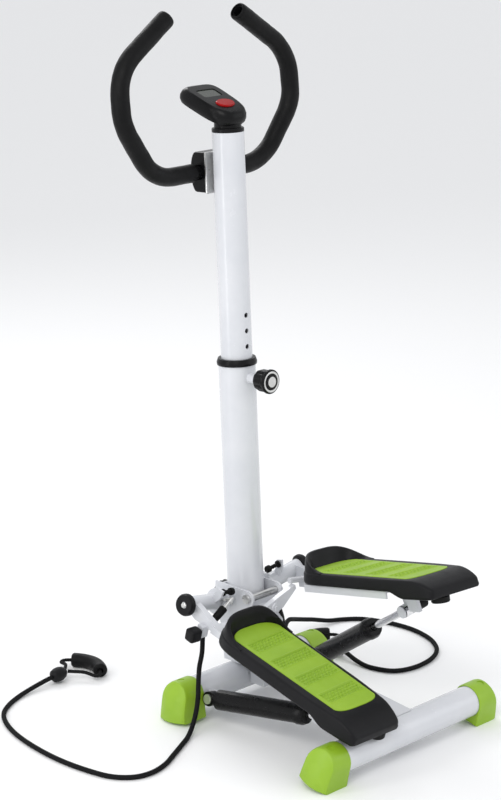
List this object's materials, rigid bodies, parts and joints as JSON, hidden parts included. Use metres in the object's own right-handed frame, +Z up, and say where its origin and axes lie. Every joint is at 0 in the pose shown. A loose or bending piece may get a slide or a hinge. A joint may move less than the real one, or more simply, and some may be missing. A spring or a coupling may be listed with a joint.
{
  "type": "stepper",
  "caption": "Home stepper: white tubular base on lime feet, swing pedals over hydraulic dampers, telescopic mast with bent handlebar and console, and pull ropes with grips.",
  "frame": {"origin": "on the floor, under the middle of the machine's box without its pull ropes", "axes": "+X to the user's right, +Y from the heels to the mast, +Z up"},
  "size_m": [0.8109, 0.6923, 1.1228],
  "materials": {
    "white_paint": "gloss white powder coat",
    "lime_plastic": "satin lime green moulding",
    "black_plastic": "fine-grained black moulding",
    "black_enamel": "satin black enamel",
    "black_foam": "closed-cell foam",
    "black_rubber": "matte black rubber",
    "rope_cord": "elastic black cord",
    "zinc_steel": "zinc plated",
    "chrome_rod": "polished",
    "display_glass": "clear cover over a grey display",
    "red_plastic": "gloss red moulding"
  },
  "bodies": {
    "frame": {"heel_crossbar": "white_paint", "column_crossbar": "white_paint", "heel_foot_left": "lime_plastic", "heel_foot_right": "lime_plastic", "column_foot_left": "lime_plastic", "column_foot_right": "lime_plastic", "spine_tube": "white_paint", "column_saddle": "white_paint", "saddle_bolt": "zinc_steel", "column_tube": "white_paint", "collar_ring": "black_plastic", "left_axle": "white_paint", "left_axle_cap": "black_plastic", "left_damper_pin": "zinc_steel", "left_rope_hook": "zinc_steel", "left_rope_sleeve": "black_rubber", "left_rope": "rope_cord", "left_rope_stopper": "black_plastic", "left_rope_loop": "rope_cord", "left_rope_grip": "black_foam", "right_axle": "white_paint", "right_axle_cap": "black_plastic", "right_damper_pin": "zinc_steel", "right_rope_hook": "zinc_steel", "right_rope_sleeve": "black_rubber", "right_rope": "rope_cord", "right_rope_stopper": "black_plastic", "right_rope_loop": "rope_cord", "right_rope_grip": "black_foam"},
    "saddle_knob": {"saddle_knob": "black_plastic"},
    "lock_knob": {"lock_knob": "black_plastic"},
    "mast": {"mast_tube": "white_paint", "mast_cap": "black_plastic", "console_housing": "black_plastic", "console_window": "display_glass", "clamp_plate": "zinc_steel", "clamp_block": "black_plastic"},
    "console_button": {"console_button": "red_plastic"},
    "handlebar": {"handlebar_tube": "black_plastic", "foam_grip_left": "black_foam", "foam_grip_right": "black_foam"},
    "rocker": {"rocker_beam": "white_paint"},
    "left_pedal": {"left_arm": "white_paint", "left_pedal_tray": "black_plastic", "left_pedal_tread": "lime_plastic", "left_heel_bumper": "black_rubber", "left_arm_stop": "black_rubber", "left_arm_plug": "black_plastic", "left_stop_screw": "black_rubber"},
    "left_damper_body": {"left_damper_body": "black_enamel"},
    "left_damper_rod": {"left_damper_rod": "chrome_rod"},
    "right_pedal": {"right_arm": "white_paint", "right_pedal_tray": "black_plastic", "right_pedal_tread": "lime_plastic", "right_heel_bumper": "black_rubber", "right_arm_stop": "black_rubber", "right_arm_plug": "black_plastic", "right_stop_screw": "black_rubber"},
    "right_damper_body": {"right_damper_body": "black_enamel"},
    "right_damper_rod": {"right_damper_rod": "chrome_rod"}
  },
  "joints": [
    {"name": "left_pedal_swing", "type": "hinge", "parent": "frame", "child": "left_pedal", "pos_m": [-0.14, 0.1387, 0.1894], "axis": [-0.9756, -0.0885, 0.201], "range_deg": [0, 27.8]},
    {"name": "right_pedal_swing", "type": "hinge", "parent": "frame", "child": "right_pedal", "pos_m": [0.14, 0.1387, 0.1894], "axis": [0.9756, -0.0885, 0.201], "range_deg": [0, 27.85]},
    {"name": "rocker_tilt", "type": "hinge", "parent": "frame", "child": "rocker", "pos_m": [0, 0.0747, 0.165], "axis": [0, 1, 0], "range_deg": [0, 39.1]},
    {"name": "left_damper_swing", "type": "hinge", "parent": "frame", "child": "left_damper_body", "pos_m": [-0.125, 0.0917, 0.038], "axis": [-0.9756, -0.0885, 0.201], "range_deg": [0, 27.8]},
    {"name": "right_damper_swing", "type": "hinge", "parent": "frame", "child": "right_damper_body", "pos_m": [0.125, 0.0917, 0.038], "axis": [0.9756, -0.0885, 0.201], "range_deg": [0, 26.5]},
    {"name": "left_damper_stroke", "type": "slide", "parent": "left_damper_body", "child": "left_damper_rod", "axis": [0.1144, -0.986, 0.1214], "range_m": [0, 0.0741]},
    {"name": "right_damper_stroke", "type": "slide", "parent": "right_damper_body", "child": "right_damper_rod", "axis": [-0.1873, -0.8133, 0.5509], "range_m": [-0.0739, 0]},
    {"name": "mast_height", "type": "slide", "parent": "frame", "child": "mast", "axis": [0, 0.0516, 0.9987], "range_m": [-0.102, 0]},
    {"name": "handlebar_tilt", "type": "hinge", "parent": "mast", "child": "handlebar", "pos_m": [0, 0.2195, 0.865], "axis": [1, 0, 0], "range_deg": [-12, 12]},
    {"name": "console_button_press", "type": "slide", "parent": "mast", "child": "console_button", "axis": [0, 0.342, -0.9397], "range_m": [0, 0.0018], "stiffness_N_per_m": 500, "springref_m": -0.001},
    {"name": "lock_knob_pull", "type": "slide", "parent": "frame", "child": "lock_knob", "axis": [0, -0.9987, 0.0516], "range_m": [0, 0.008], "stiffness_N_per_m": 500, "springref_m": -0.006},
    {"name": "saddle_knob_turn", "type": "hinge", "parent": "frame", "child": "saddle_knob", "pos_m": [0, 0.1737, 0.163], "axis": [0, 1, 0], "continuous": true}
  ],
  "couplings": [
    {"joint": "right_pedal_swing", "follows": "left_pedal_swing", "ratio": 1},
    {"joint": "rocker_tilt", "follows": "left_pedal_swing", "ratio": 1.403},
    {"joint": "left_damper_swing", "follows": "left_pedal_swing", "ratio": 0.99641},
    {"joint": "right_damper_swing", "follows": "left_pedal_swing", "ratio": 0.9493},
    {"joint": "left_damper_stroke", "follows": "left_pedal_swing", "m_per_rad": 0.15246},
    {"joint": "right_damper_stroke", "follows": "left_pedal_swing", "m_per_rad": -0.15195}
  ]
}
